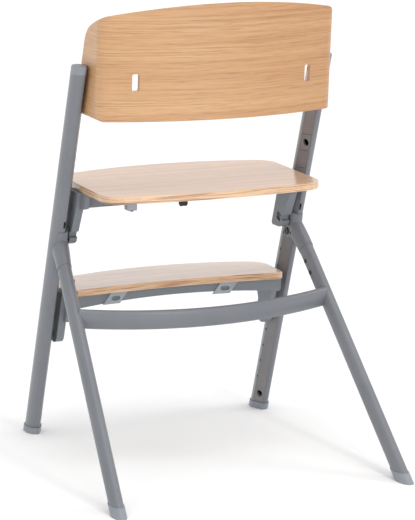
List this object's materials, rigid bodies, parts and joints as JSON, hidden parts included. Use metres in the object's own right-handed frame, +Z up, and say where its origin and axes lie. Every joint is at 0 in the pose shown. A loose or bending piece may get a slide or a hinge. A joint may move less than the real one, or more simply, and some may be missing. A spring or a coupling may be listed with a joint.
{
  "type": "folding high chair",
  "caption": "Folding baby high chair: leaning oval front posts, splayed rear legs on a hinge, bent ply backrest, height-adjustable seat and footrest on index pins",
  "frame": {"origin": "On the floor, in the middle of the footprint's bounding box.", "axes": "+Z up; the chair's front faces -Y; +X is the child's left."},
  "size_m": [0.5882, 0.6324, 0.875],
  "materials": {
    "oak_ply": "satin lacquer",
    "dark_steel": "dark zinc",
    "grey_casting": "satin powder coat",
    "dark_block": "matt",
    "pale_clip": "satin",
    "grey_tube": "satin powder coat",
    "grey_strip": "matt",
    "grey_plug": "matt"
  },
  "bodies": {
    "frame": {"backrest_board": "oak_ply", "backrest_bolts": "dark_steel", "left_lower_strip": "grey_strip", "left_middle_strip": "grey_strip", "left_pivot_bolt": "dark_steel", "left_post": "grey_tube", "left_post_cap": "grey_plug", "left_post_foot": "grey_plug", "left_socket_strip": "grey_strip", "left_top_strip": "grey_strip", "right_lower_strip": "grey_strip", "right_middle_strip": "grey_strip", "right_pivot_bolt": "dark_steel", "right_post": "grey_tube", "right_post_cap": "grey_plug", "right_post_foot": "grey_plug", "right_socket_strip": "grey_strip", "right_top_strip": "grey_strip"},
    "rear_frame": {"knuckle_screws": "dark_steel", "left_hinge_knuckle": "grey_tube", "left_rear_foot": "grey_plug", "left_rear_leg": "grey_tube", "rear_crossbar": "grey_tube", "rear_leg_screws": "dark_steel", "right_hinge_knuckle": "grey_tube", "right_rear_foot": "grey_plug", "right_rear_leg": "grey_tube"},
    "seat_unit": {"seat_board": "oak_ply", "seat_carrier": "grey_casting", "seat_screws": "dark_steel", "seat_stop_block": "grey_plug", "seat_strap_anchor": "dark_block", "stop_block_screws": "dark_steel", "strap_anchor_screws": "dark_steel"},
    "footrest_unit": {"footrest_board": "oak_ply", "footrest_carrier": "grey_casting", "footrest_screws": "dark_steel", "left_footrest_clip": "pale_clip", "right_footrest_clip": "pale_clip"},
    "left_fold_latch_body": {"left_fold_latch": "dark_block"},
    "left_footrest_pin_body": {"left_footrest_pin": "dark_steel"},
    "left_seat_pin_body": {"left_seat_pin": "dark_steel"},
    "right_fold_latch_body": {"right_fold_latch": "dark_block"},
    "right_footrest_pin_body": {"right_footrest_pin": "dark_steel"},
    "right_seat_pin_body": {"right_seat_pin": "dark_steel"}
  },
  "joints": [
    {"name": "rear_frame_fold", "type": "hinge", "parent": "frame", "child": "rear_frame", "pos_m": [0, -0.1256, 0.3942], "axis": [-1, 0, 0], "range_deg": [0, 45]},
    {"name": "seat_height", "type": "slide", "parent": "frame", "child": "seat_unit", "axis": [0, 0.3551, 0.9348], "range_m": [0, 0.0755]},
    {"name": "footrest_height", "type": "slide", "parent": "frame", "child": "footrest_unit", "axis": [0, 0.3551, 0.9348], "range_m": [-0.11325, 0.03775]},
    {"name": "left_seat_pin_pull", "type": "slide", "parent": "seat_unit", "child": "left_seat_pin_body", "axis": [-1, 0, 0], "range_m": [-0.0055, 0]},
    {"name": "left_footrest_pin_pull", "type": "slide", "parent": "footrest_unit", "child": "left_footrest_pin_body", "axis": [-1, 0, 0], "range_m": [-0.0055, 0]},
    {"name": "left_fold_latch_lift", "type": "slide", "parent": "frame", "child": "left_fold_latch_body", "axis": [0, 0.3551, 0.9348], "range_m": [0, 0.005], "stiffness_N_per_m": 200, "springref_m": -0.006},
    {"name": "right_seat_pin_pull", "type": "slide", "parent": "seat_unit", "child": "right_seat_pin_body", "axis": [1, 0, 0], "range_m": [-0.0055, 0]},
    {"name": "right_footrest_pin_pull", "type": "slide", "parent": "footrest_unit", "child": "right_footrest_pin_body", "axis": [1, 0, 0], "range_m": [-0.0055, 0]},
    {"name": "right_fold_latch_lift", "type": "slide", "parent": "frame", "child": "right_fold_latch_body", "axis": [0, 0.3551, 0.9348], "range_m": [0, 0.005], "stiffness_N_per_m": 200, "springref_m": -0.006}
  ]
}
